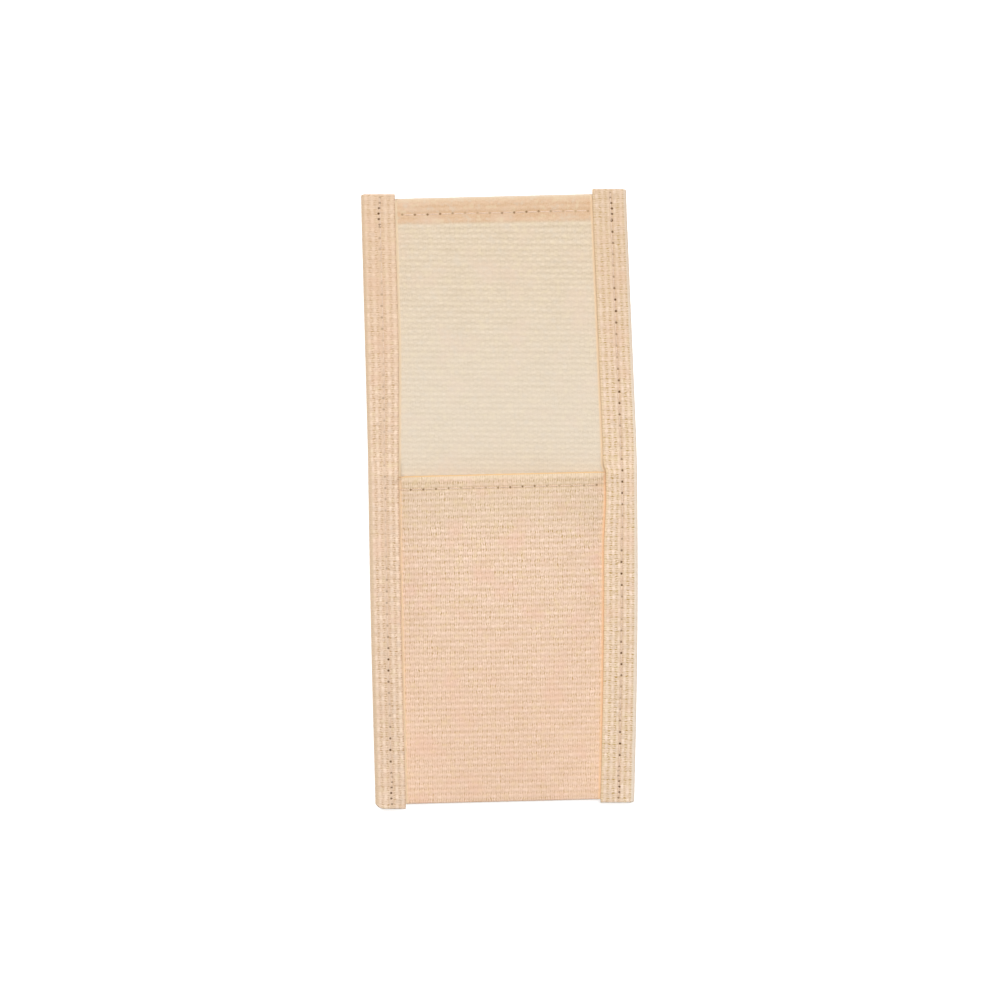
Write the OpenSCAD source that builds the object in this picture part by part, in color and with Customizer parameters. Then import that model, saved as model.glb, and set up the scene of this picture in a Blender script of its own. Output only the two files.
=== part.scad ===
// A cloth pocket that is worn on a lumbar support belt, lying on its back with the pocket up.
//
// One strip of woven mesh is hemmed at both ends and folded up from the bottom. The tall
// back ends in a single-layer flap, and the short front makes a pocket with its mouth at
// mid height. A tape folded round each long side binds the raw edges. Four lockstitched
// seams hold it together, each with a needle thread above and a bobbin thread below.
//
// Frame: +X right, +Y towards the top hem, +Z out of the front. Z = 0 is the table.
// The flap folds forward over the mouth, about a line along X.

/* [Outline] */
// Height of the cloth on the centre line, from the bottom fold to the top edge
cloth_h = 199.8; // [190:0.1:210]
// Depth of the pocket on the centre line, from the bottom fold to the mouth edge
pocket_h = 107.4; // [90:0.1:115]
// Height of the bottom fold on the centre line, seen from the origin
base_y = -99.7; // [-105:0.1:-95]
// Distance from the mouth edge up to the line where the flap folds
fold_up = 7.4; // [7:0.1:9]
// Left edge from the centre line, at the bottom
left_bottom = 40.8; // [38:0.1:46]
// Left edge from the centre line, at the fold line
left_fold = 43.3; // [40:0.1:46]
// Left edge from the centre line, at the top
left_top = 45.6; // [42:0.1:47]
// Right edge from the centre line, at the bottom
right_bottom = 44.7; // [40:0.1:46]
// Right edge from the centre line, at the fold line
right_fold = 45.6; // [42:0.1:47]
// Right edge from the centre line, at the top
right_top = 42; // [40:0.1:46]
// Slant of the bottom fold, the mouth and the top edge, in degrees
slant = 1.4; // [0:0.1:2]

/* [Cloth] */
// Thickness of the woven mesh
cloth_t = 0.7; // [0.5:0.05:0.7]
// How far the pocket front bows off the back, at the middle of the mouth
bow = 7.3; // [7:0.1:7.4]

/* [Side bindings] */
// Finished width of a binding
band_w = 11; // [10:0.1:12]
// Thickness of the binding tape
tape_t = 0.55; // [0.4:0.05:0.6]
// Air between the two plies of a folded leg
ply_gap = 0.1; // [0.05:0.01:0.2]
// Width of the tape's turned-in edge
turn_w = 7; // [6.5:0.1:7.5]
// How far a binding runs past the bottom fold
overhang_bottom = 1.65; // [1:0.05:2]
// How far a binding runs past the top edge
overhang_top = 1.2; // [1:0.1:2]

/* [Hems] */
// Width of the top hem
top_hem_w = 7; // [6:0.1:9]
// Width of the hem along the pocket mouth
mouth_hem_w = 5.6; // [5:0.1:7]
// Thickness of a pressed hem ply
hem_ply = 0.55; // [0.4:0.05:0.55]

/* [Seams] */
// Stitch length on the bindings
band_stitch = 3.75; // [3:0.05:5]
// Stitch length on the hems
hem_stitch = 4.1; // [3:0.05:5]
// Number of short stitches that lock a binding seam at each end
tack_n = 6; // [3:1:8]
// Length of a locking stitch
tack_stitch = 1.7; // [1.3:0.1:2]
// Left binding's seam from its outer edge
left_seam_in = 6.3; // [5:0.1:7]
// Right binding's seam from its outer edge
right_seam_in = 5.4; // [5:0.1:7]
// Top hem's seam from the top edge
top_seam_in = 5.5; // [4:0.1:6]
// Mouth hem's seam from the mouth edge
mouth_seam_in = 3.7; // [3:0.1:4.5]
// Thickness of the sewing thread
thread_t = 0.3; // [0.2:0.01:0.3]
// Diameter of a needle hole
hole_d = 0.9; // [0.8:0.05:1]

/* [Finish] */
// Radius of the left binding's rounded foot, at the outer edge
foot_r = 2.2; // [0.5:0.1:4]

/* [Hidden] */
LEFT = -1;
RIGHT = 1;
cloth_colour = [0.92, 0.80, 0.69];
tape_colour = [0.90, 0.78, 0.66];
thread_colour = [0.80, 0.67, 0.54];

// Heights: a binding's lower leg, then the back, then the pocket front
leg_t = 2 * tape_t + ply_gap;
back_z = leg_t;
front_z = back_z + cloth_t;
flap_stack = 2 * leg_t + cloth_t;
pocket_stack = 2 * leg_t + 2 * cloth_t;

// Stations on the centre line
hem_lip = 0.95;      // how far a hem's rounded edge stands past the panel's end
mouth_y = base_y + pocket_h;
top_y = base_y + cloth_h;
fold_y = mouth_y + fold_up;
panel_bottom_y = base_y + cloth_t;
front_end_y = mouth_y - hem_lip;
flap_end_y = top_y - hem_lip;

// Small fits
fold_gap = 0.2;      // between the flap's pieces and the pocket's
touch = 0.05;        // between cloth plies that lie on each other
raw_in = 2.2;        // raw cloth edge from the binding's outer edge
hem_inset = 0.3;     // top hem's ends from the bindings
nip = 0.9;           // mouth hem's ends from the bindings, which nip it flat
end_hole = 1.6;      // first needle hole from the end of a seam
mouth_end_hole = 3.8;  // the same on the mouth's seam
thread_shift = thread_t / 2 + 0.04;   // the two threads pass each other side by side
groove_w = hole_d + 0.2;              // groove that a seam presses into the cloth
lock_lap = 0.3;      // how far the legs of the two threads pass each other
reach = 400;         // larger than the whole object
end_at = 43;         // where on X the slant sets the bindings' ends
bow_power = 2.5;     // the front stays flat near the middle and dives at the sides
thread_leg = 0.2;    // half the width of a thread where it goes down a hole
thread_dip = thread_t + 0.05;   // how far beside a hole a stitch starts to rise
fold_share = 0.02;   // share of a binding's length that it is swept past the fold, to be cut

function cross_y(y, x) = y + x * tan(slant);
function mix(a, b, t) = a + (b - a) * t;

// Outer edge of the left or the right binding
function end_y(side, y) = cross_y(y, side * end_at) + (y > 0 ? overhang_top : -overhang_bottom);
function station_x(side, k) =
    side == LEFT ? -[left_bottom, left_fold, left_top][k] : [right_bottom, right_fold, right_top][k];
function edge_x(side, y) = y < fold_y
    ? mix(station_x(side, 0), station_x(side, 1), (y - base_y) / (fold_y - base_y))
    : mix(station_x(side, 1), station_x(side, 2), (y - fold_y) / (top_y - fold_y));
function edge_point(side, y, inward = 0) = [edge_x(side, y) - side * inward, y];

// A folded strip's section: its middle line, given half its thickness on both sides
function arc(c, r, from, to, n = 10) =
    [for (i = [0:n]) c + r * [cos(mix(from, to, i / n)), sin(mix(from, to, i / n))]];
function side_step(path, i) =
    let (a = path[max(i - 1, 0)], b = path[min(i + 1, len(path) - 1)], d = (b - a) / norm(b - a))
    [-d.y, d.x];
function ribbon(path, t) = concat(
    [for (i = [0:len(path) - 1]) path[i] + side_step(path, i) * t / 2],
    [for (i = [len(path) - 1:-1:0]) path[i] - side_step(path, i) * t / 2]);

function mirror_x(points) = [for (i = [len(points) - 1:-1:0]) [-points[i].x, points[i].y]];

// The binding tape: turned in, under the cloth, round the edge, over the cloth, turned in
function binding_section(stack) =
    let (turn_r = (leg_t - tape_t) / 2, turn_x = band_w - leg_t / 2, roll = stack / 2)
    ribbon(concat(
        [[band_w - turn_w, leg_t - tape_t / 2]],
        arc([turn_x, leg_t / 2], turn_r, 90, -90),
        arc([roll, roll], roll - tape_t / 2, 270, 90, 16),
        arc([turn_x, stack - leg_t / 2], turn_r, 90, -90),
        [[band_w - turn_w, stack - leg_t + tape_t / 2]]), tape_t);

// A hem turned under twice. Y = 0 is the panel's end and Z = 0 its underside.
function hem_section(width) =
    let (low = hem_ply / 2 - leg_t + touch / 2, lip_r = (cloth_t / 2 - low) / 2,
         high = -touch - hem_ply / 2, turn_r = (high - low) / 2)
    ribbon(concat(
        arc([touch, low + lip_r], lip_r, 90, -90, 12),
        arc([hem_lip - width + turn_r + hem_ply / 2, low + turn_r], turn_r, 270, 90, 8),
        [[-hem_lip, high]]), hem_ply);

// The outline of such a hem with its plies pressed together
function pressed_hem_section(width) =
    let (low = touch / 2 - leg_t, lip_r = (cloth_t / 2 + hem_ply / 2 - low) / 2, turn_r = -(low + touch) / 2)
    concat(
        arc([touch, low + lip_r], lip_r, 90, -90, 8),
        arc([hem_lip - width + turn_r, low + turn_r], turn_r, 270, 90, 6),
        [[touch, -touch]]);

// The pocket front: u runs from the left binding to the right, v from the fold to the mouth
front_cols = 26;
front_rows = 18;
function bow_at(u, v) = bow * (1 - pow(abs(u), bow_power)) * (1 - pow(1 - v, 2));
function col_u(i) = 2 * (i - 1) / (front_cols - 2) - 1;
function col_x(i, y) =
    i == 0 ? edge_x(LEFT, y) + raw_in
    : i == front_cols ? edge_x(RIGHT, y) - raw_in
    : mix(edge_x(LEFT, y) + band_w, edge_x(RIGHT, y) - band_w, (col_u(i) + 1) / 2);
function col_bow(i, v) = i == 0 || i == front_cols ? 0 : bow_at(col_u(i), v);
function front_point(i, j, lift) =
    let (v = j / front_rows, y = mix(panel_bottom_y, front_end_y, v), x = col_x(i, y))
    [x, cross_y(y, x), front_z + col_bow(i, v) + lift];

// Bow of the front along the mouth's seam, at a place on X
function mouth_u(x) =
    let (a = edge_x(LEFT, mouth_y) + band_w, b = edge_x(RIGHT, mouth_y) - band_w)
    min(1, max(-1, 2 * (x - a) / (b - a) - 1));
function mouth_bow(x) = bow_at(mouth_u(x), 1 - mouth_seam_in / pocket_h);

// Seams: each is a line on the cloth with needle holes at given distances from its start
function seam_in(side) = side == LEFT ? left_seam_in : right_seam_in;
function inner_x(side, y) = edge_x(side, y) - side * band_w;
function seam_ends(name) =
    name == "left_lower" ? lower_seam(LEFT) : name == "right_lower" ? lower_seam(RIGHT)
    : name == "left_upper" ? upper_seam(LEFT) : name == "right_upper" ? upper_seam(RIGHT)
    : name == "top" ? cross_seam(top_y - top_seam_in) : cross_seam(mouth_y - mouth_seam_in);
function lower_seam(side) = [edge_point(side, end_y(side, base_y), seam_in(side)),
                             edge_point(side, fold_y, seam_in(side))];
function upper_seam(side) = [edge_point(side, end_y(side, top_y), seam_in(side)),
                             edge_point(side, fold_y, seam_in(side))];
function cross_seam(y) = [for (side = [LEFT, RIGHT])
    let (x = inner_x(side, y)) [x, cross_y(y, x)]];
function spread(from, to, step) =
    let (n = round((to - from) / step)) [for (i = [0:n]) mix(from, to, i / n)];
function holes(name) =
    let (e = seam_ends(name), long = norm(e[1] - e[0]), tack_end = end_hole + tack_n * tack_stitch)
    name == "mouth" ? spread(mouth_end_hole, long - mouth_end_hole, hem_stitch)
    : name == "top" ? spread(end_hole, long - end_hole, hem_stitch)
    : concat([for (i = [0:tack_n - 1]) end_hole + i * tack_stitch],
             spread(tack_end, long - end_hole, band_stitch));
function hole_points(name) =
    let (e = seam_ends(name), d = (e[1] - e[0]) / norm(e[1] - e[0])) [for (s = holes(name)) e[0] + d * s];

// A thread seen from the side: a bar between each pair of holes, and a leg down each hole.
// floor(s) is the face the bars lie on, lock(s) is where the legs end, up is 1 or -1.
function thread_outline(s, floor_z, lock_z, up) =
    let (last = len(s) - 1) concat(
    [for (i = [0:last]) each [
        if (i > 0) [s[i] - thread_dip, floor_z(s[i]) + up * thread_t],
        [s[i], floor_z(s[i]) - (i > 0 && i < last ? up * touch : -up * thread_t)],
        if (i < last) [s[i] + thread_dip, floor_z(s[i]) + up * thread_t]]],
    [for (i = [last:-1:0]) each [
        if (i < last) [s[i] + thread_leg, floor_z(s[i])],
        [s[i] + thread_leg, lock_z(s[i])],
        [s[i] - thread_leg, lock_z(s[i])],
        if (i > 0) [s[i] - thread_leg, floor_z(s[i])]]]);

// Puts what stands on the Y axis at a point, turned to face along d
module facing(at, d)
    translate([at.x, at.y, 0])
        rotate([0, 0, atan2(d.y, d.x) - 90])
            children();

module sweep(from, to, section, mirrored)
    facing(to, to - from)
        rotate([90, 0, 0])
            linear_extrude(norm(to - from))
                polygon(mirrored ? mirror_x(section) : section);

// What a square corner loses when it is rounded, in a block taller than the pocket
module corner_waste(r)
    translate([0, 0, -1])
        linear_extrude(pocket_stack + 2)
            difference() {
                translate([-r, -r]) square(2 * r);
                translate([r, r]) circle(r, $fn = 48);
            }

module needle_holes(name, low = -1, high = 20)
    for (p = hole_points(name))
        translate([p.x, p.y, low]) cylinder(d = hole_d, h = high - low, $fn = 24);

// The cloth is pressed in along a seam, so that the thread lies level with it
module seam_groove(name, z0, z1, past = 2) {
    e = seam_ends(name);
    d = e[1] - e[0];
    translate([e[0].x, e[0].y, z0])
        rotate([0, 0, atan2(d.y, d.x)])
            translate([-past, -groove_w / 2, 0]) cube([norm(d) + 2 * past, groove_w, z1 - z0]);
}

module thread(name, outline, shift) {
    e = seam_ends(name);
    d = e[1] - e[0];
    translate([e[0].x, e[0].y, 0])
        rotate([0, 0, atan2(d.y, d.x)])
            rotate([90, 0, 0])
                translate([0, 0, shift - thread_t / 2])
                    linear_extrude(thread_t) polygon(outline);
}

module flat_needle_thread(name, face, middle)
    thread(name, thread_outline(holes(name), function(s) face, function(s) middle - lock_lap, 1),
           thread_shift);

module flat_bobbin_thread(name, face, middle)
    thread(name, thread_outline(holes(name), function(s) face, function(s) middle + lock_lap, -1),
           -thread_shift);

module below_fold()
    intersection() {
        children();
        translate([-reach / 2, -reach, -1]) cube([reach, reach + fold_y - fold_gap / 2, reach]);
    }

module above_fold()
    intersection() {
        children();
        translate([-reach / 2, fold_y + fold_gap / 2, -1]) cube([reach, reach, reach]);
    }

// Cloth between two heights, from raw edge to raw edge. Each end follows the slant or the fold.
module panel(y0, y1, slant0, slant1, z) {
    corners = [for (c = [[LEFT, y0, slant0], [RIGHT, y0, slant0], [RIGHT, y1, slant1], [LEFT, y1, slant1]])
        let (x = edge_x(c[0], c[1]) - c[0] * raw_in) [x, c[1] + (c[2] ? x * tan(slant) : 0)]];
    translate([0, 0, z]) linear_extrude(cloth_t) polygon(corners);
}

module back_panel()
    color(cloth_colour)
        difference() {
            panel(panel_bottom_y, fold_y - fold_gap / 2, true, false, back_z);
            needle_holes("left_lower");
            needle_holes("right_lower");
        }

module flap_panel()
    color(cloth_colour)
        difference() {
            panel(fold_y + fold_gap / 2, flap_end_y, false, true, back_z);
            needle_holes("left_upper");
            needle_holes("right_upper");
            needle_holes("top");
            seam_groove("top", front_z - thread_t, front_z + 1);
        }

// The strip turns up at the bottom, from the back to the pocket front
module bottom_fold() {
    x0 = edge_x(LEFT, base_y) + raw_in;
    x1 = edge_x(RIGHT, base_y) - raw_in;
    color(cloth_colour)
        difference() {
            translate([x1, cross_y(panel_bottom_y, x1), front_z])
                rotate([0, 0, slant])
                    rotate([90, 0, -90])
                        linear_extrude((x1 - x0) / cos(slant))
                            rotate(90) polygon(arc([0, 0], cloth_t, 180, 360, 16));
            needle_holes("left_lower");
            needle_holes("right_lower");
        }
}

module grid_solid(low, high, cols, rows) {
    n = (cols + 1) * (rows + 1);
    at = function(i, j, top) (top ? n : 0) + j * (cols + 1) + i;
    cell = function(i, j, top) [at(i, j, top), at(i + 1, j, top), at(i + 1, j + 1, top), at(i, j + 1, top)];
    halves = function(q) [[q[0], q[1], q[2]], [q[0], q[2], q[3]]];
    turned = function(q) [q[3], q[2], q[1], q[0]];
    polyhedron(concat(low, high), concat(
        [for (j = [0:rows - 1], i = [0:cols - 1]) each halves(cell(i, j, false))],
        [for (j = [0:rows - 1], i = [0:cols - 1]) each halves(turned(cell(i, j, true)))],
        [for (i = [0:cols - 1]) each [
            [at(i + 1, 0, false), at(i, 0, false), at(i, 0, true), at(i + 1, 0, true)],
            [at(i, rows, false), at(i + 1, rows, false), at(i + 1, rows, true), at(i, rows, true)]]],
        [for (j = [0:rows - 1]) each [
            [at(0, j, false), at(0, j + 1, false), at(0, j + 1, true), at(0, j, true)],
            [at(cols, j + 1, false), at(cols, j, false), at(cols, j, true), at(cols, j + 1, true)]]]));
}

module pocket_front()
    color(cloth_colour)
        difference() {
            grid_solid(
                [for (j = [0:front_rows], i = [0:front_cols]) front_point(i, j, 0)],
                [for (j = [0:front_rows], i = [0:front_cols]) front_point(i, j, cloth_t)],
                front_cols, front_rows);
            needle_holes("left_lower");
            needle_holes("right_lower");
            needle_holes("mouth");
        }

// The mouth hem follows the bow of the front, and thins where the front comes down on the back
module mouth_hem() {
    section = pressed_hem_section(mouth_hem_w);
    n = len(section);
    cols = front_cols - 2;
    rise = function(x) lookup(x, [for (i = [1:front_cols - 1]) [col_x(i, front_end_y), col_bow(i, 1)]]);
    points = [for (i = [0:cols], p = section)
        let (x = col_x(i + 1, front_end_y) + (i == 0 ? nip : i == cols ? -nip : 0),
             thin = min(1, (rise(x) - touch) / leg_t))
        [x, cross_y(front_end_y, x) + p.x, front_z + rise(x) + (p.y < 0 ? p.y * thin : p.y)]];
    color(cloth_colour)
        difference() {
            polyhedron(points, concat(
                [[for (k = [n - 1:-1:0]) k]],
                [[for (k = [0:n - 1]) cols * n + k]],
                [for (i = [0:cols - 1], k = [0:n - 1]) each
                    let (a = i * n + k, b = i * n + (k + 1) % n) [[a, b, a + n], [b, b + n, a + n]]]));
            needle_holes("mouth");
        }
}

module top_hem() {
    x0 = inner_x(LEFT, top_y) + hem_inset;
    x1 = inner_x(RIGHT, top_y) - hem_inset;
    color(cloth_colour)
        difference() {
            translate([x1, cross_y(flap_end_y, x1), back_z])
                rotate([0, 0, slant])
                    rotate([90, 0, -90])
                        linear_extrude((x1 - x0) / cos(slant))
                            polygon(mirror_x(hem_section(top_hem_w)));
            needle_holes("top");
            seam_groove("top", -1, thread_t);
        }
}

module binding(side, name, y_end, stack) {
    far = edge_point(side, y_end);
    fold = edge_point(side, fold_y);
    past = (fold - far) * fold_share;
    color(tape_colour)
        difference() {
            if (y_end < fold_y)
                below_fold() sweep(far, fold + past, binding_section(stack), side == RIGHT);
            else
                above_fold() sweep(fold + past, far, binding_section(stack), side == RIGHT);
            needle_holes(name);
            seam_groove(name, -1, thread_t);
            seam_groove(name, stack - thread_t, stack + 1);
        }
}

// The left binding's foot was cut off in a curve at its outer edge
module left_binding_lower() {
    far = edge_point(LEFT, end_y(LEFT, base_y));
    color(tape_colour)
        difference() {
            binding(LEFT, "left_lower", far.y, pocket_stack);
            facing(far, edge_point(LEFT, fold_y) - far) corner_waste(foot_r);
        }
}
module right_binding_lower() binding(RIGHT, "right_lower", end_y(RIGHT, base_y), pocket_stack);
module left_binding_upper() binding(LEFT, "left_upper", end_y(LEFT, top_y), flap_stack);
module right_binding_upper() binding(RIGHT, "right_upper", end_y(RIGHT, top_y), flap_stack);

module band_needle_thread(name, stack)
    color(thread_colour) flat_needle_thread(name, stack - thread_t, stack / 2);

module band_bobbin_thread(name, stack)
    color(thread_colour) flat_bobbin_thread(name, thread_t, stack / 2);

module left_needle_thread_lower() band_needle_thread("left_lower", pocket_stack);
module left_bobbin_thread_lower() band_bobbin_thread("left_lower", pocket_stack);
module right_needle_thread_lower() band_needle_thread("right_lower", pocket_stack);
module right_bobbin_thread_lower() band_bobbin_thread("right_lower", pocket_stack);
module left_needle_thread_upper() band_needle_thread("left_upper", flap_stack);
module left_bobbin_thread_upper() band_bobbin_thread("left_upper", flap_stack);
module right_needle_thread_upper() band_needle_thread("right_upper", flap_stack);
module right_bobbin_thread_upper() band_bobbin_thread("right_upper", flap_stack);

module top_needle_thread()
    color(thread_colour) flat_needle_thread("top", front_z - thread_t, front_z / 2);

module top_bobbin_thread()
    color(thread_colour) flat_bobbin_thread("top", thread_t, front_z / 2);

// The mouth's threads lie on the bowed front, so their height follows it
function mouth_x(s) =
    let (e = seam_ends("mouth"), d = (e[1] - e[0]) / norm(e[1] - e[0])) e[0].x + d.x * s;
mouth_middle = front_z + (cloth_t - leg_t) / 2;

module mouth_needle_thread()
    color(thread_colour)
        thread("mouth", thread_outline(holes("mouth"),
            function(s) front_z + cloth_t + touch + mouth_bow(mouth_x(s)),
            function(s) mouth_middle - lock_lap + mouth_bow(mouth_x(s)), 1), thread_shift);

module mouth_bobbin_thread()
    color(thread_colour)
        thread("mouth", thread_outline(holes("mouth"),
            function(s) front_z - leg_t - touch + mouth_bow(mouth_x(s)),
            function(s) mouth_middle + lock_lap + mouth_bow(mouth_x(s)), -1), -thread_shift);

back_panel();
bottom_fold();
pocket_front();
mouth_hem();
left_binding_lower();
right_binding_lower();
left_needle_thread_lower();
left_bobbin_thread_lower();
right_needle_thread_lower();
right_bobbin_thread_lower();
mouth_needle_thread();
mouth_bobbin_thread();
flap_panel();
top_hem();
left_binding_upper();
right_binding_upper();
left_needle_thread_upper();
left_bobbin_thread_upper();
right_needle_thread_upper();
right_bobbin_thread_upper();
top_needle_thread();
top_bobbin_thread();
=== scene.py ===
import math

import bmesh
import bpy
import numpy as np
from mathutils import Matrix, Vector


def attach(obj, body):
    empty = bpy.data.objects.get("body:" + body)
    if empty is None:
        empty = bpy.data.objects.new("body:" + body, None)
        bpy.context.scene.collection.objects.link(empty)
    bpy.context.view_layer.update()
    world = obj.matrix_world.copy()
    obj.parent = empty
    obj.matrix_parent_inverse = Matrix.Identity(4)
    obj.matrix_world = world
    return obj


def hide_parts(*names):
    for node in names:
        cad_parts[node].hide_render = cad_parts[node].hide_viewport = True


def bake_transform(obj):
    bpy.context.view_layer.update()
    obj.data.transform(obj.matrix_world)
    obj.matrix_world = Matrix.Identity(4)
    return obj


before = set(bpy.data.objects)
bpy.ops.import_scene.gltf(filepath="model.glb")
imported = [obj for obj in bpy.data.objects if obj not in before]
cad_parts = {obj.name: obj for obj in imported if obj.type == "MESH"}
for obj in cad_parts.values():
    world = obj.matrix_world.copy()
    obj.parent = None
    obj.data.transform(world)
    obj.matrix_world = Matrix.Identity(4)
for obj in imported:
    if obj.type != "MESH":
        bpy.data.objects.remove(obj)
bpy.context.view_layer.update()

# The camera looks straight down through a long lens, as a copy stand does. The photograph
# covers 330 mm, and its middle is a little to the right of the pocket's centre line.
VIEW_WIDTH = 0.330
VIEW_MIDDLE = (0.00033, -0.00017)
CAMERA_HEIGHT = 2.2
camera_data = bpy.data.cameras.new("copy_stand_camera")
camera_data.sensor_width = 36
camera_data.lens = camera_data.sensor_width * CAMERA_HEIGHT / VIEW_WIDTH
camera_data.clip_start, camera_data.clip_end = 0.05, 20
camera = bpy.data.objects.new("copy_stand_camera", camera_data)
camera.location = (*VIEW_MIDDLE, CAMERA_HEIGHT)
bpy.context.scene.collection.objects.link(camera)
bpy.context.scene.camera = camera


# The table: a sheet of white card under the pocket. It takes the pocket's soft shadow, and
# the lens sees a clear white on it.
class Flow:
    """An output in a material's nodes. Arithmetic on it adds Math nodes."""

    def __init__(self, tree, socket=None):
        self.tree, self.socket = tree, socket

    def node(self, kind, values=(), out=0, **settings):
        made = self.tree.nodes.new("ShaderNode" + kind)
        for name, setting in settings.items():
            setattr(made, name, setting)
        pairs = values.items() if isinstance(values, dict) else enumerate(values)
        for key, value in pairs:
            if isinstance(value, Flow):
                self.tree.links.new(value.socket, made.inputs[key])
            else:
                made.inputs[key].default_value = value
        return Flow(self.tree, made.outputs[out])

    def math(self, operation, *values):
        return self.node("Math", values, operation=operation)

    def __add__(self, other): return self.math("ADD", self, other)
    def __radd__(self, other): return self.math("ADD", other, self)
    def __sub__(self, other): return self.math("SUBTRACT", self, other)
    def __rsub__(self, other): return self.math("SUBTRACT", other, self)
    def __mul__(self, other): return self.math("MULTIPLY", self, other)
    def __rmul__(self, other): return self.math("MULTIPLY", other, self)
    def __truediv__(self, other): return self.math("DIVIDE", self, other)
    def __pow__(self, other): return self.math("POWER", self, other)
    def __abs__(self): return self.math("ABSOLUTE", self)

    def floor(self): return self.math("FLOOR", self)

    def ramp(self, low, high, start=0.0, end=1.0):
        """Goes smoothly from start to end as this goes from low to high."""
        return self.node("MapRange", (self, low, high, start, end), interpolation_type="SMOOTHSTEP")

    def mix(self, colour, factor):
        """This colour, going over to another."""
        return self.node("Mix", {0: factor, 6: self, 7: colour}, out=2, data_type="RGBA")


def new_material(name):
    material = bpy.data.materials.new(name)
    material.use_nodes = True
    tree = material.node_tree
    return material, Flow(tree), tree.nodes["Principled BSDF"], tree.nodes["Material Output"]


table_material, flow, shader, output = new_material("white_card")
shader.inputs["Base Color"].default_value = (0.86, 0.86, 0.86, 1)
shader.inputs["Roughness"].default_value = 0.9
shader.inputs["Specular IOR Level"].default_value = 0.0
CARD_LIFT = 0.6
seen = flow.node("BsdfPrincipled", {"Base Color": (0.93, 0.93, 0.93, 1), "Roughness": 0.9,
                                    "Specular IOR Level": 0.0, "Emission Color": (1, 1, 1, 1),
                                    "Emission Strength": CARD_LIFT})
path = flow.node("LightPath")
looked_at = path
for ray in ("Is Glossy Ray", "Is Transmission Ray"):
    looked_at = flow.math("MAXIMUM", looked_at, Flow(flow.tree, path.socket.node.outputs[ray]))
mixed = flow.node("MixShader", (looked_at, Flow(flow.tree, shader.outputs[0]), seen))
flow.tree.links.new(mixed.socket, output.inputs["Surface"])

bm = bmesh.new()
bmesh.ops.create_grid(bm, x_segments=1, y_segments=1, size=3)
table_mesh = bpy.data.meshes.new("table")
bm.to_mesh(table_mesh)
bm.free()
table_mesh.materials.append(table_material)
table = bpy.data.objects.new("table", table_mesh)
table.location.z = -0.0002
bpy.context.scene.collection.objects.link(table)

# Light: a white room and three large soft boxes, the strongest over the top left corner. All
# of them stand past the top edge, so the mouth throws no shadow up the back.
world = bpy.data.worlds.new("white_room")
bpy.context.scene.world = world
world.use_nodes = True
world.node_tree.nodes["Background"].inputs["Color"].default_value = (1, 1, 1, 1)
world.node_tree.nodes["Background"].inputs["Strength"].default_value = 0.36
for name, place, size, power in (("soft_box_key", (-1.15, 1.2, 1.4), 0.8, 19),
                                 ("soft_box_fill", (1.5, 0.4, 1.5), 1.2, 10),
                                 ("soft_box_top", (0.6, 0.7, 2.7), 1.0, 25)):
    lamp_data = bpy.data.lights.new(name, "AREA")
    lamp_data.shape, lamp_data.size, lamp_data.energy = "DISK", size, power
    lamp = bpy.data.objects.new(name, lamp_data)
    lamp.location = place
    lamp.rotation_euler = (-Vector(place)).to_track_quat("-Z", "Y").to_euler()
    bpy.context.scene.collection.objects.link(lamp)
bpy.context.scene.view_settings.view_transform = "Standard"

# The back: one strip of peach mesh, woven from flat yarns, that runs from the bottom fold up
# to the top edge. There it turns to the back and under, and a row of stitches holds the hem.
MM = 0.001
BASE_Y, MOUTH_Y, FOLD_Y, TOP_Y = -99.7, 8.5, 15.1, 100.1
SLANT = math.tan(math.radians(1.4))          # slope of every line that runs across
EDGE = {"left": (-40.8, -43.3, -45.6), "right": (44.7, 45.6, 42.0)}    # x at base, fold and top
OUT = {"left": -1, "right": 1}
KINK_HALF = 6                                # how far each way the edge turns over at the fold
BULGE = {"left": -0.25, "right": 0.65}       # the pocket's sides are not quite straight
BAND = {"left": 10.2, "right": 11.35}        # width of the bindings
FLAP_WIDENS = {"left": 1.1, "right": 0.0}    # how much wider a binding is at the top
PINCH = {"left": 0.0, "right": 0.8}          # how much of it the thick mouth hem takes up
CLOTH, TAPE, PLY_GAP = 0.7, 0.55, 0.1
LEG = 2 * TAPE + PLY_GAP                     # the tape's two plies under the cloth
BACK_Z, FRONT_Z = LEG, LEG + CLOTH
PANEL_BOTTOM = BASE_Y + CLOTH
LIP = 0.95                                   # from a panel's end to the rim of its hem
HEM_PLY, TOUCH = 0.55, 0.05
TOP_HEM, TOP_SEAM = 7, 5.5                   # from the top edge down
HEM_STITCH = 4.1
SEAM_DIP, SEAM_DIP_WIDTH = 0.12, 0.7         # how a seam pulls the cloth in
WARP, WEFT = 1.485, 1.868                    # pitch of the yarns that run up and across
BACK_RELIEF = 0.1                            # how far a yarn stands above the gaps
GRAIN = math.tan(math.radians(-0.45))        # slope of the yarns: the hem is turned off the grain
CLOTH_HALF = 41.1                            # half the strip's cut width
FINE_HALF = 34.5                             # the part of it that shows between the bindings


def edge_x(side, y):
    """Outer edge of a binding. The tape can't kink, so it turns over a few millimetres."""
    softened = [np.interp(y + d, (BASE_Y, FOLD_Y, TOP_Y), EDGE[side])
                for d in np.linspace(-KINK_HALF, KINK_HALF, 7)]
    along_pocket = np.clip((y - BASE_Y) / (FOLD_Y - BASE_Y), 0, 1)
    return np.mean(softened, axis=0) + BULGE[side] * np.sin(math.pi * along_pocket)


def smooth(x, low, high):
    t = np.clip((x - low) / (high - low), 0, 1)
    return t * t * (3 - 2 * t)


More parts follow.
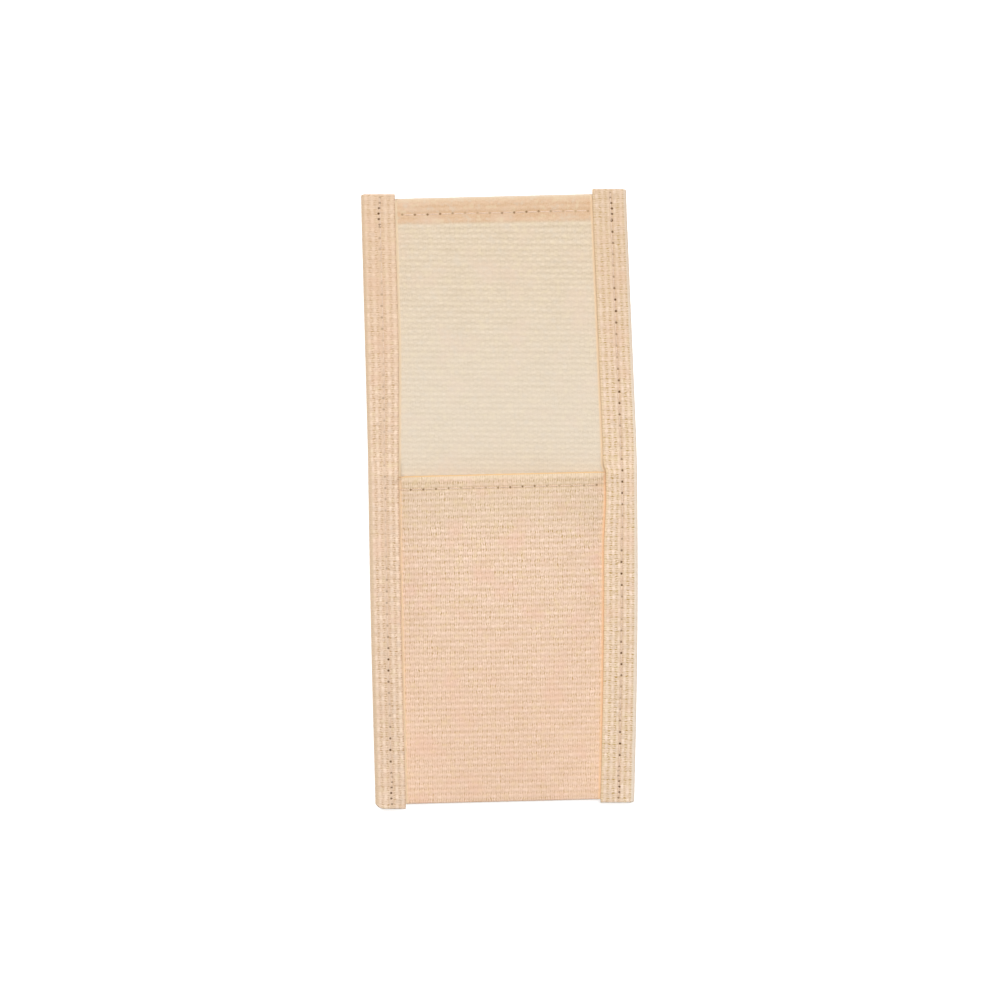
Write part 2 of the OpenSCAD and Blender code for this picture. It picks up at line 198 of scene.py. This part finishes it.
def in_from_edge(side, y, distance):
    """The x of a point on a binding, that far from its outer edge before the binding widens."""
    widened = FLAP_WIDENS[side] * smooth(y, FOLD_Y - 10, FOLD_Y + 40)
    up, down = smooth(y, MOUTH_Y - 25, MOUTH_Y - 7), smooth(-y, -MOUTH_Y - 3.5, -MOUTH_Y - 0.5)
    pinched = PINCH[side] * up * down
    return edge_x(side, y) - OUT[side] * distance * (1 + (widened - pinched) / BAND[side])


def inner_x(side, y):
    return in_from_edge(side, y, BAND[side])


def middle_x(y):
    return (edge_x("left", y) + edge_x("right", y)) / 2


def arc(centre, radius, start, end, steps):
    return [(centre[0] + radius * math.cos(a), centre[1] + radius * math.sin(a))
            for a in np.radians(np.linspace(start, end, steps + 1))]


def hem_path(width):
    """A hem's middle line past the end of its panel, turned under twice."""
    low = HEM_PLY / 2 - LEG + TOUCH / 2
    lip = (CLOTH / 2 - low) / 2
    high = -TOUCH - HEM_PLY / 2
    turn = (high - low) / 2
    return (arc((TOUCH, low + lip), lip, 90, -90, 12)
            + arc((LIP - width + turn + HEM_PLY / 2, low + turn), turn, 270, 90, 8)
            + [(-LIP, high)])


def lengths(points):
    """How far along a path each of its points is."""
    steps = np.hypot(*np.diff(np.array(points), axis=0).T)
    return np.concatenate([[0], np.cumsum(steps)])


def path_normals(points):
    d = np.gradient(np.array(points), axis=0)
    d /= np.hypot(d[:, 0], d[:, 1])[:, None]
    return np.stack([-d[:, 1], d[:, 0]], axis=1)


def yarn_lines(low, high, pitch, parts):
    """Where a sheet's lines of vertices go: on the gaps between yarns and on the yarns."""
    first, last = math.ceil(low / pitch * parts), math.floor(high / pitch * parts)
    return np.arange(first, last + 1) * pitch / parts


def weave_height(across, along, side):
    """0 in the gaps between yarns, 1 on top of them. At every other crossing the yarn that runs
    along a row is on top, and on the other side of the cloth it is the other way round."""
    crossing = np.sin(np.pi * across) * np.sin(np.pi * along) * side
    return 0.5 - 0.28 * np.cos(2 * np.pi * along) - 0.08 * np.cos(2 * np.pi * across) + 0.14 * crossing


def new_object(name, mesh, material):
    mesh.materials.clear()
    mesh.materials.append(material)
    made = bpy.data.objects.new(name, mesh)
    bpy.context.scene.collection.objects.link(made)
    return made


def woven_sheet(name, us, vs, place, material, mirrored=False):
    """A closed sheet of cloth. us and vs say how far across and along the cut strip its lines
    of vertices are. place(u, v, side) puts a point of its face, or of its back, in space, and
    says how near it is to where a binding's inner edge lies."""
    bm = bmesh.new()
    for z in (-0.01, 0.01):
        bmesh.ops.create_grid(bm, x_segments=len(us) - 1, y_segments=len(vs) - 1, size=1,
                              matrix=Matrix.Translation((0, 0, z)))
    bmesh.ops.bridge_loops(bm, edges=[e for e in bm.edges if e.is_boundary])
    bmesh.ops.recalc_face_normals(bm, faces=bm.faces)
    mesh = bpy.data.meshes.new(name)
    bm.to_mesh(mesh)
    bm.free()
    flat = np.empty(len(mesh.vertices) * 3)
    mesh.vertices.foreach_get("co", flat)
    x, y, z = flat.reshape(-1, 3).T
    u = us[np.rint((x + 1) / 2 * (len(us) - 1)).astype(int)]
    v = vs[np.rint((y + 1) / 2 * (len(vs) - 1)).astype(int)]
    side = np.sign(z)
    points, near = place(u, v, side)
    mesh.vertices.foreach_set("co", (points * MM).ravel())
    weave = mesh.attributes.new("weave", "FLOAT_VECTOR", "POINT")
    weave.data.foreach_set("vector", np.stack([u, v, side], axis=1).ravel())
    mesh.attributes.new("near", "FLOAT", "POINT").data.foreach_set("value", near)
    mesh.polygons.foreach_set("use_smooth", [True] * len(mesh.polygons))
    if mirrored:
        mesh.flip_normals()
    mesh.update()
    return new_object(name, mesh, material)


def strip_of_cloth(path, half, share_up, hem, slope, seam_v, relief, row_shift=0, bow=0):
    """Places a strip that follows a path in Y and Z. half is half its thickness along the path,
    share_up how far up the panel a point is, hem 1 on the turned plies, and slope that of the
    yarns that run across, which start row_shift of a pitch early. bow is how high it bows."""
    s = lengths(path)
    points, normals = np.array(path), path_normals(path)

    def place(u, v, side):
        y, z = np.interp(v, s, points[:, 0]), np.interp(v, s, points[:, 1])
        ny, nz = np.interp(v, s, normals[:, 0]), np.interp(v, s, normals[:, 1])
        thick, share, turned, tilt = (np.interp(v, s, a) for a in (half, share_up, hem, slope))
        x = middle_x(y) + u
        left, right = inner_x("left", y), inner_x("right", y)
        if bow:    # the pocket front bows off the back
            place_u = np.clip(2 * (x - left) / (right - left) - 1, -1, 1)
            rise = bow * (1 - np.abs(place_u) ** BOW_POWER) * (1 - (1 - np.clip(share, 0, 1)) ** 2)
            room = np.clip((rise - TOUCH) / LEG, 0, 1)
            z = np.where((turned > 0) & (z < FRONT_Z), FRONT_Z + (z - FRONT_Z) * room, z) + rise
            thick = np.where((turned > 0) & (nz < 0.3), thick * (0.3 + 0.7 * room), thick)
        else:      # the top hem is nipped where the bindings close on it
            nip = np.maximum(smooth(left - x, -1.0, 1.0), smooth(x - right, -1.0, 1.0)) * turned
            z, thick = z + (BACK_Z + CLOTH / 2 - z) * nip, thick * (1 - 0.7 * nip)
        yarns = weave_height(u / WARP, v / WEFT + row_shift, side)
        lift = thick - relief * (1 - np.where(np.abs(u) > FINE_HALF, 0.5, yarns))
        lift = lift - SEAM_DIP * np.exp(-((v - seam_v) / SEAM_DIP_WIDTH) ** 2)
        y_out = y + side * lift * ny
        points_out = np.stack([x, y_out + x * tilt, z + side * lift * nz], axis=1)
        return points_out, np.minimum(x - left, right - x)

    return place, s


def linear(red, green, blue):
    """A colour read off the photograph, 0 to 255, as the linear values that a shader takes."""
    return (*[((c / 255 + 0.055) / 1.055) ** 2.4 for c in (red, green, blue)], 1)


def weave_painted_shade(flow, place, across, along, side, rows, columns, pairs, crossings):
    """How light the yarns look, about 0.5: light on top and dark in the gaps, painted light and shade of
    the weave's relief.
    The yarns that run up are pairs of threads. They wander, and stand out more in some spots than in
    others."""
    def wave(x): return flow.math("COSINE", x * (2 * math.pi))
    def swing(x): return flow.math("SINE", x * math.pi)
    wander = flow.node("TexNoise", {"Vector": place, "Scale": 0.35, "Detail": 2.0, "Roughness": 0.7},
                       out=1)
    first, second, third = (flow.node("SeparateXYZ", (wander,), out=i) - 0.5 for i in range(3))
    across, along = across + first * 1.1, along + second * 0.5
    strength = third * 3.5 + 1
    crossing = swing(across) * (swing(along) * 1.1 - swing(along * 3)) * side
    fine = wave(across) * columns + wave(across * 2) * pairs - crossing * crossings
    return 0.5 - wave(along) * rows - fine * strength * (wave(along) * 0.6 + 1)


def dyed_yarn(flow, place, light, dark_colour, light_colour, blotches, streaks):
    """The yarns' colour where they look that light, from the painted shade of dark_colour to the painted
    light of light_colour, unevenly dyed, and the fibres' fuzz.
    """
    def noise(scale, detail=2.0, stretch=(1, 1, 1)):
        spread = flow.node("VectorMath", (place, stretch), operation="MULTIPLY")
        return flow.node("TexNoise", {"Vector": spread, "Scale": scale, "Detail": detail})
    streak = noise(1.0, 1.0, (0.12, 0.6, 9))
    patch, blotch, fibre = noise(0.5), noise(0.09), noise(2.8)
    light = light + (streak - 0.5) * streaks + (fibre - 0.5) * 0.8
    colour = flow.node("Mix", {0: light, 6: dark_colour, 7: light_colour}, out=2, data_type="RGBA",
                       clamp_factor=False)
    spots = blotch.ramp(0.5, 0.72), patch.ramp(0.52, 0.75), patch.ramp(0.48, 0.25)
    for tint, where in zip(blotches, spots):
        colour = colour.mix(tint, where * 0.4)
    return colour, fibre


def needle_holes(flow, off, along, start, end, pitch, wander):
    """Dark points along a seam, painted shade in its needle holes. off is how far from the seam a point
    is.
    """
    place = (along - start) / pitch
    count = (place + 0.5).floor()
    near = (place - count) * pitch - flow.math("SINE", count * 12.9) * wander
    off = off - flow.math("SINE", count * 5.3) * (wander * 0.6)
    first = start - pitch / 2
    inside = along.ramp(first, first + 0.01) * along.ramp(end, end + 0.01, 1.0, 0.0)
    depth = flow.math("SINE", count * 7.1) * 0.35 + 0.65
    return ((off * off + near * near) ** 0.5).ramp(0.2, 0.52, 1.0, 0.0) * inside * depth


def cloth_surface(flow, shader, colour, shade, fibre, hole, roughness, gloss):
    """The matt and slightly furry surface that the mesh and the tapes have."""
    flow.tree.links.new(colour.socket, shader.inputs["Base Color"])
    shader.inputs["Roughness"].default_value = roughness
    shader.inputs["Specular IOR Level"].default_value = gloss
    shader.inputs["Sheen Weight"].default_value = 0.12
    bump = flow.node("Bump", {"Height": shade * 0.6 + fibre * 0.3 - hole, "Strength": 0.4,
                              "Distance": 0.00015})
    flow.tree.links.new(bump.socket, shader.inputs["Normal"])


def woven_material(name, weave, dark, light, blotches, streaks, ramps, painted_edge_light_and_shade, hem_tint, lip, seam_v,
                   first_hole, row_shift=0):
    """The mesh of one sheet, with the dark needle holes of its hem's seam, painted shade. ramps are the
    colours that it takes on along its length, painted_edge_light_and_shade is the painted warm light
    beside a binding and hem_tint the colour over a hem. lip is how strong a painted highlight the hem's
    outermost yarn gets, and the painted shade round its rim."""
    material, flow, shader, output = new_material(name)
    place = flow.node("Attribute", attribute_name="weave", out="Vector")
    near = flow.node("Attribute", attribute_name="near", out="Fac")
    u, v, side = (flow.node("SeparateXYZ", (place,), out=i) for i in range(3))
    hem_low, hem_high, hem_dark, hem_light = hem_tint
    doubled = v.ramp(hem_low - 0.8, hem_low + 0.8) * v.ramp(hem_high + 1.2, hem_high + 2, 1.0, 0.0)
    dark, light = (flow.node("Mix", {0: doubled, 6: plain, 7: over_hem}, out=2, data_type="RGBA")
                   for plain, over_hem in ((dark, hem_dark), (light, hem_light)))
    # Painted light on the yarns' tops and painted shade in the gaps between them.
    shade = weave_painted_shade(flow, place, u / WARP, v / WEFT + row_shift, side, *weave)
    colour, fibre = dyed_yarn(flow, place, shade, dark, light, blotches, streaks)
    for ramp_colour, *ramp in ramps:
        colour = colour.mix(ramp_colour, v.ramp(*ramp))
    off = v - seam_v
    # Painted shade along the seam's groove, painted warm light beside the bindings, a painted highlight
    # on the hem's outermost yarn and painted shade round its rim.
    colour = colour.mix(hem_dark, abs(off).ramp(0.3, 1.0, 0.3, 0.0))
    colour = colour.mix(painted_edge_light_and_shade, near.ramp(0.3, 1.0, 0.9, 0.0))
    left_half = u.ramp(-5, 5, 1.0, 0.0)    # the light comes from there and catches the last yarn
    colour = colour.mix(linear(255, 238, 208), near.ramp(0.2, 0.8, 0.7, 0.0) * left_half)
    painted_lip_highlight, painted_rim_shade = lip
    colour = colour.mix(linear(246, 226, 198), v.ramp(hem_high - 0.8, hem_high - 0.2) * painted_lip_highlight)
    colour = colour.mix(painted_rim_shade, v.ramp(hem_high + 0.25, hem_high + 0.4) * doubled)
    hole = needle_holes(flow, off, u, first_hole, CLOTH_HALF, HEM_STITCH, 0.25) * 0.8
    # The needle holes' dark brown is painted shade.
    colour = colour.mix(linear(118, 84, 44), hole)
    cloth_surface(flow, shader, colour, shade, fibre, hole, roughness=0.85, gloss=0.2)
    return material


BACK_START = (PANEL_BOTTOM, BACK_Z + CLOTH / 2)
back_path = [BACK_START]
back_path += [(y, BACK_Z + CLOTH / 2) for y in np.linspace(PANEL_BOTTOM + 5, TOP_Y - LIP - 1.5, 30)]
PANEL_POINTS = len(back_path)
back_path += [(TOP_Y - LIP + y, BACK_Z + z) for y, z in hem_path(TOP_HEM)]
back_half = [CLOTH / 2] * PANEL_POINTS + [HEM_PLY / 2] * (len(back_path) - PANEL_POINTS)
back_hem = [0] * PANEL_POINTS + [1] * (len(back_path) - PANEL_POINTS)
back_slope = [SLANT + (GRAIN - SLANT) * smooth(y, PANEL_BOTTOM + 3, PANEL_BOTTOM + 30)
              * smooth(-y, -93, -86) for y, z in back_path[:PANEL_POINTS]]
back_slope += [SLANT] * (len(back_path) - PANEL_POINTS)
back_seam_v = TOP_Y - TOP_SEAM - PANEL_BOTTOM
back_lip_v = TOP_Y - LIP - PANEL_BOTTOM
place_back, back_s = strip_of_cloth(back_path, back_half, [0] * len(back_path), back_hem, back_slope,
                                    back_seam_v, BACK_RELIEF)
columns = np.concatenate([[-CLOTH_HALF], yarn_lines(-FINE_HALF, FINE_HALF, WARP, 3), [CLOTH_HALF]])
UNDER_POCKET = 50 * WEFT     # up to here the pocket front hides the back's face
back_rows = np.unique(np.concatenate(
    [yarn_lines(0, UNDER_POCKET, WEFT, 2), yarn_lines(UNDER_POCKET, back_s[-1], WEFT, 3),
     back_s[PANEL_POINTS:]]).round(3))
top_first_hole = float(inner_x("left", TOP_Y) + 2.2 - middle_x(TOP_Y))
back_material = woven_material(
    "pale_mesh", weave=(0.12, 0.02, 0.03, 0.10), dark=linear(202, 181, 150), light=linear(244, 227, 205),
    blotches=(linear(231, 205, 184), linear(234, 217, 184), linear(222, 208, 190)), streaks=0.35,
    ramps=[(linear(234, 226, 212), 120, 190, 0.3, 0.0)], painted_edge_light_and_shade=linear(247, 220, 184),
    hem_tint=(TOP_Y - TOP_HEM - 1.6 - PANEL_BOTTOM, back_lip_v, linear(208, 169, 130),
              linear(236, 206, 176)),
    lip=(0.3, linear(226, 206, 182)), seam_v=back_seam_v, first_hole=top_first_hole)
back_cloth = woven_sheet("back_cloth", columns, back_rows, place_back, back_material)
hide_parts("back_panel", "flap_panel", "top_hem")
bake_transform(back_cloth)

# The pocket front: the same strip, turned up at the bottom. It bows off the back towards the
# mouth, where it is turned to the inside twice and stitched. The weave runs on over the edge.
MOUTH_HEM, MOUTH_SEAM = 5.6, 4.5    # from the mouth's edge down
BOW, BOW_POWER = 7.3, 2.5           # the mouth's height off the back, and how full its curve is
FRONT_RELIEF = 0.16
FRONT_SHIFT = 0.25                  # its rows lie this share of a pitch lower than the back's
front_middle = FRONT_Z + CLOTH / 2
front_path = [BACK_START] + arc((PANEL_BOTTOM, FRONT_Z), CLOTH / 2, 270, 90, 8)[1:]
FOLD_POINTS = len(front_path)
front_path += [(y, front_middle) for y in np.linspace(PANEL_BOTTOM + 3, MOUTH_Y - LIP - 1.5, 40)]
PANEL_POINTS = len(front_path)
front_path += [(MOUTH_Y - LIP + y, FRONT_Z + z) for y, z in hem_path(MOUTH_HEM)]
HEM_POINTS = len(front_path) - PANEL_POINTS
front_half = [CLOTH / 2] * PANEL_POINTS + [HEM_PLY / 2] * HEM_POINTS
front_hem = [0] * PANEL_POINTS + [1] * HEM_POINTS
front_length = MOUTH_Y - LIP - PANEL_BOTTOM
front_share = ([0] * FOLD_POINTS
               + [(y - PANEL_BOTTOM) / front_length for y, z in front_path[FOLD_POINTS:PANEL_POINTS]]
               + [1] * HEM_POINTS)
front_s = lengths(front_path)
front_seam_v = float(front_s[FOLD_POINTS] + MOUTH_Y - MOUTH_SEAM - front_path[FOLD_POINTS][0])
place_front, front_s = strip_of_cloth(front_path, front_half, front_share, front_hem,
                                      [SLANT] * len(front_path), front_seam_v, FRONT_RELIEF,
                                      FRONT_SHIFT, BOW)
front_rows = np.unique(np.concatenate(
    [yarn_lines(0, front_s[-1], WEFT, 4), front_s[:FOLD_POINTS], front_s[PANEL_POINTS:]]).round(3))
mouth_first_hole = float(inner_x("left", MOUTH_Y) - 0.3 - middle_x(MOUTH_Y))
front_lip_v = float(front_s[PANEL_POINTS])
front_material = woven_material(
    "peach_mesh", weave=(0.19, 0.10, 0.27, 0.20), dark=linear(214, 181, 145), light=linear(252, 224, 203),
    blotches=(linear(240, 194, 172), linear(236, 209, 162), linear(238, 205, 186)), streaks=0.7,
    ramps=[(linear(246, 201, 170), 0, 105, 0.3, 0.0),
           (linear(200, 188, 153), front_lip_v - 24, front_lip_v - 8, 0.0, 0.17)],
    painted_edge_light_and_shade=linear(255, 216, 174),
    hem_tint=(front_lip_v - MOUTH_HEM + LIP, front_lip_v, linear(210, 178, 140), linear(251, 224, 200)),
    lip=(0.4, linear(232, 194, 146)), seam_v=front_seam_v, first_hole=mouth_first_hole,
    row_shift=FRONT_SHIFT)
pocket_cloth = woven_sheet("pocket_cloth", columns, front_rows, place_front, front_material)
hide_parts("bottom_fold", "pocket_front", "mouth_hem")
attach(pocket_cloth, "pocket")

# The bindings: a ribbed cotton tape folded round each long side, both of its own edges turned
# in. It covers the raw edges of the strip, is cut off a little past the cloth, and its fold
# runs on over the ends of the mouth hem, where it rises in a small bump.
FLAP_STACK, POCKET_STACK = 2 * LEG + CLOTH, 2 * LEG + 2 * CLOTH
TURN = 7                                     # how much of the tape is turned in
RIB = 1.88                                   # pitch of the tape's lengthwise ribs
RIB_START = {"left": 0.27, "right": 0.85}    # where in a rib the fold's middle line lies
RIBBED_HALF = 14.4                           # past this the tape is out of sight
TAPE_RELIEF, TAPE_DIP = 0.13, 0.14
FOOT_R, TOP_R = {"left": 3.0, "right": 1.2}, 1.2      # the ends' rounded outer corners
FOOT_LENGTH, TOP_LENGTH = 6, 4
SEAM_IN = {"left": 5.6, "right": 5.4}        # from the outer edge
BAND_STITCH, TACK_STITCH, TACKS = 3.75, 1.7, 6        # the seam is tacked at both ends
END_HOLE = 1.6
TACK_END = END_HOLE + TACKS * TACK_STITCH
OVER_TOP, OVER_BOTTOM = {"left": 1.6, "right": 1.2}, 1.2    # past the cloth's corners
CORNER_X = 43                                # how far from the middle those corners lie
BUMP, BUMP_LENGTH = 0.5, 2.2                 # where the tape passes over the mouth hem


def tape_path(side, stack):
    turn_r, turn_x, roll = (LEG - TAPE) / 2, BAND[side] - LEG / 2, stack / 2
    return ([(BAND[side] - TURN, LEG - TAPE / 2)]
            + arc((turn_x, LEG / 2), turn_r, 90, -90, 8)
            + arc((roll, roll), roll - TAPE / 2, 270, 90, 16)
            + arc((turn_x, stack - LEG / 2), turn_r, 90, -90, 8)
            + [(BAND[side] - TURN, stack - LEG + TAPE / 2)])


def end_y(side, y):
    return y + OUT[side] * CORNER_X * SLANT + (OVER_TOP[side] if y > 0 else -OVER_BOTTOM)


def tape_stack(y):
    return POCKET_STACK + (FLAP_STACK - POCKET_STACK) * smooth(y, MOUTH_Y - 1, FOLD_Y + 2)


def seam_u(side):
    """How far the seam is from the middle of the tape, along the tape."""
    roll = POCKET_STACK / 2
    return math.pi / 2 * (roll - TAPE / 2) + SEAM_IN[side] - roll


def binding(side):
    section = {stack: np.array(tape_path(side, stack)) for stack in (POCKET_STACK, FLAP_STACK)}
    s = lengths(section[POCKET_STACK])
    middle = s[-1] / 2
    normals = path_normals(section[POCKET_STACK])
    low, high = end_y(side, BASE_Y), end_y(side, TOP_Y)

    def place(u, v, face):
        y = low + v
        at = u + middle
        mix = (tape_stack(y) - FLAP_STACK) / (POCKET_STACK - FLAP_STACK)
        d, z = (np.interp(at, s, section[POCKET_STACK][:, k]) * mix
                + np.interp(at, s, section[FLAP_STACK][:, k]) * (1 - mix) for k in (0, 1))
        nd, nz = (np.interp(at, s, normals[:, k]) for k in (0, 1))
        ribbed = weave_height(v / WARP, np.abs(u) / RIB + RIB_START[side], face)
        lift = TAPE / 2 - TAPE_RELIEF * (1 - np.where(np.abs(u) < RIBBED_HALF, ribbed, 1))
        lift = lift - TAPE_DIP * np.exp(-((np.abs(u) - seam_u(side)) / SEAM_DIP_WIDTH) ** 2)
        bump = BUMP * np.exp(-((y - MOUTH_Y + 0.6) / BUMP_LENGTH) ** 2)
        bump = bump * smooth(d, 2.5, 9) * (z > POCKET_STACK / 2)
        at_foot = 1 - smooth(v, 0, FOOT_LENGTH)
        at_top = smooth(v, high - low - TOP_LENGTH, high - low)
        for radius, share in ((FOOT_R[side], at_foot), (-TOP_R, at_top)):
            inset = np.clip(abs(radius) - d, 0, None)    # the outer corners are rounded off
            y = y + (radius - math.copysign(1, radius) * np.sqrt(radius ** 2 - inset ** 2)) * share
        d = d + face * lift * nd
        x = in_from_edge(side, y, d)
        return np.stack([x, y, z + face * lift * nz + bump], axis=1), BAND[side] - d

    start = RIB * RIB_START[side]
    ribs = yarn_lines(start + 0.1, middle + start - 0.1, RIB, 4) - start
    turns = middle - s[:10]
    us = np.unique(np.concatenate([-ribs, ribs, -turns, turns, [0]]).round(3))
    vs = np.append(yarn_lines(0, high - low - WARP / 4, WARP, 3), high - low)
    return us, vs, place, s[-1], high - low


def tape_material(side, weave, dark, light, painted_edge_light_and_shade, top_tint, open_above):
    """Lengthwise ribs crossed by fine picks, and the dark needle holes of the seam. open_above is
    how open the needle holes still are in the upper part."""
    material, flow, shader, output = new_material(side + "_tape")
    place = flow.node("Attribute", attribute_name="weave", out="Vector")
    u, v, face = (flow.node("SeparateXYZ", (place,), out=i) for i in range(3))
    length = float(end_y(side, TOP_Y) - end_y(side, BASE_Y))
    # Painted light on the ribs' tops and painted shade in the gaps between them.
    shade = weave_painted_shade(flow, place, v / WARP, abs(u) / RIB + RIB_START[side], face, *weave)
    colour, fibre = dyed_yarn(flow, place, shade, dark, light,
                              (linear(236, 197, 172), linear(234, 212, 172), linear(221, 198, 178)), 0.8)
    off = abs(u) - seam_u(side)
    seam = needle_holes(flow, off, v, TACK_END, length - TACK_END + BAND_STITCH / 2, BAND_STITCH, 0.2)
    seam = seam * v.ramp(62, 76, 1.0, open_above)
    tacks = (needle_holes(flow, off, v, END_HOLE, TACK_END - TACK_STITCH / 2, TACK_STITCH, 0.4)
             + needle_holes(flow, off, v, length - TACK_END + TACK_STITCH, length, TACK_STITCH, 0.4))
    hole = flow.math("MINIMUM", seam + tacks, 1.0)
    # Painted shade along the seam's groove, painted light over the right tape's outer fold and painted
    # shade over the left one's, a painted highlight at the inner fold, and a tint towards the top.
    colour = colour.mix(linear(220, 189, 160), abs(off).ramp(0.3, 1.0, 0.5, 0.0))
    colour = colour.mix(painted_edge_light_and_shade, abs(u).ramp(1.6, 2.4, 0.7, 0.0))
    colour = colour.mix(linear(244, 217, 180), abs(u).ramp(11.0, 11.5) * 0.5)
    colour = colour.mix(top_tint, v.ramp(length * 0.55, length, 0.0, 0.35))
    # The needle holes' dark brown is painted shade.
    colour = colour.mix(linear(100, 68, 34), hole)
    cloth_surface(flow, shader, colour, shade, fibre, hole, roughness=0.8, gloss=0.25)
    return material


tape_materials = {
    "left": tape_material(
        "left", (0.21, 0.08, 0.20, 0.18), linear(207, 173, 138), linear(250, 224, 201),
        painted_edge_light_and_shade=linear(231, 203, 170), top_tint=linear(221, 187, 151), open_above=0.4),
    "right": tape_material(
        "right", (0.22, 0.11, 0.25, 0.17), linear(206, 175, 132), linear(250, 225, 204),
        painted_edge_light_and_shade=linear(244, 230, 212), top_tint=linear(211, 181, 147), open_above=1.0)}
for side in ("left", "right"):
    us, vs, place, cut_width, cut_length = binding(side)
    band = woven_sheet(side + "_binding", us, vs, place, tape_materials[side], mirrored=side == "right")
    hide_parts(side + "_binding_lower", side + "_binding_upper")
    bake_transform(band)

# The sewing thread: each seam is a lockstitch, so the needle's thread shows as a row of short
# stitches on the face and the bobbin's as the same row on the back. Every stitch goes down
# into the needle hole that it shares with the next.
thread_material, flow, shader, output = new_material("sewing_thread")
coordinates = flow.node("TexCoord", out="Object")
fuzz = flow.node("TexNoise", {"Vector": coordinates, "Scale": 3000.0, "Detail": 2.0})
colour = flow.node("Mix", {0: fuzz.ramp(0.35, 0.65), 6: linear(222, 194, 168), 7: linear(244, 218, 196)},
                   out=2, data_type="RGBA")
flow.tree.links.new(colour.socket, shader.inputs["Base Color"])
shader.inputs["Roughness"].default_value = 0.55
bump = flow.node("Bump", {"Height": fuzz, "Strength": 0.4, "Distance": 0.00005})
flow.tree.links.new(bump.socket, shader.inputs["Normal"])
THREAD_R = 0.19
SUNK = 0.25                                  # how far a stitch lies in the cloth's face
STITCH_AT = np.array([0.03, 0.10, 0.25, 0.5, 0.75, 0.90, 0.97])
STITCH_RISE = np.array([-0.55, -0.12, 0.05, 0.1, 0.05, -0.12, -0.55])


def stitches(name, holes, surface):
    """One stitch between each two holes. surface(points) gives the height of the cloth's face
    and which way is out of it."""
    curve = bpy.data.curves.new(name, "CURVE")
    curve.dimensions = "3D"
    curve.bevel_depth, curve.bevel_resolution, curve.use_fill_caps = THREAD_R * MM, 1, True
    for a, b in zip(holes[:-1], holes[1:]):
        xy = a + (b - a) * STITCH_AT[:, None]
        z, out = surface(xy)
        spline = curve.splines.new("POLY")
        spline.points.add(len(STITCH_AT) - 1)
        for point, (x, y), height in zip(spline.points, xy, z + out * STITCH_RISE):
            point.co = (x * MM, y * MM, height * MM, 1)
    maker = bpy.data.objects.new(name + "_curve", curve)
    bpy.context.scene.collection.objects.link(maker)
    bpy.context.view_layer.update()
    mesh = bpy.data.meshes.new_from_object(maker.evaluated_get(bpy.context.evaluated_depsgraph_get()))
    bpy.data.objects.remove(maker)
    mesh.name = name
    mesh.polygons.foreach_set("use_smooth", [True] * len(mesh.polygons))
    made = new_object(name, mesh, thread_material)
    return made


def hole_places(even, wander):
    """Needle holes wander a little along their seam, just as needle_holes() colours them."""
    return even + wander * np.sin(12.9 * np.arange(len(even)))


def band_holes(side):
    low, high = end_y(side, BASE_Y), end_y(side, TOP_Y)
    length = high - low
    tacks = END_HOLE + np.arange(TACKS) * TACK_STITCH
    regular = np.arange(TACK_END, length - TACK_END + BAND_STITCH / 2, BAND_STITCH)
    top_tacks = (length - TACK_END + TACK_STITCH) + np.arange(TACKS) * TACK_STITCH
    v = np.concatenate([hole_places(tacks, 0.4), hole_places(regular, 0.2),
                        hole_places(top_tacks[top_tacks < length - 1], 0.4)])
    y = low + v
    return np.stack([in_from_edge(side, y, SEAM_IN[side]), y], axis=1)


for side in ("left", "right"):
    for thread, out in (("needle", 1), ("bobbin", -1)):
        def surface(xy):
            y = xy[:, 1]
            top = tape_stack(y) - SUNK if out > 0 else np.full(len(y), SUNK)
            return top, out
        row = stitches(f"{side}_{thread}_thread", band_holes(side), surface)
        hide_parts(f"{side}_{thread}_thread_lower", f"{side}_{thread}_thread_upper")
        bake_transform(row)


def seam_holes(first, y):
    """Holes across the cloth, from the first one to just under the right binding."""
    last = inner_x("right", y) + 0.5
    x = hole_places(np.arange(middle_x(y) + first, last, HEM_STITCH), 0.25)
    return np.stack([x, y + x * SLANT], axis=1)


for thread, out in (("needle", 1), ("bobbin", -1)):
    def surface(xy):
        z = FRONT_Z - SUNK if out > 0 else SUNK
        return np.full(len(xy), z), out
    row = stitches(f"top_{thread}_thread", seam_holes(top_first_hole, TOP_Y - TOP_SEAM), surface)
    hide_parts(f"top_{thread}_thread")
    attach(row, "flap")

for thread, out in (("needle", 1), ("bobbin", -1)):
    def surface(xy):
        y = xy[:, 1] - xy[:, 0] * SLANT
        left, right = inner_x("left", y), inner_x("right", y)
        place_u = np.clip(2 * (xy[:, 0] - left) / (right - left) - 1, -1, 1)
        rise = BOW * (1 - np.abs(place_u) ** BOW_POWER)
        room = np.clip((rise - TOUCH) / LEG, 0, 1)
        z = FRONT_Z + rise + (CLOTH - SUNK if out > 0 else -LEG * room + SUNK)
        return z, out
    row = stitches(f"mouth_{thread}_thread", seam_holes(mouth_first_hole, MOUTH_Y - MOUTH_SEAM), surface)
    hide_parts(f"mouth_{thread}_thread")
    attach(row, "pocket")
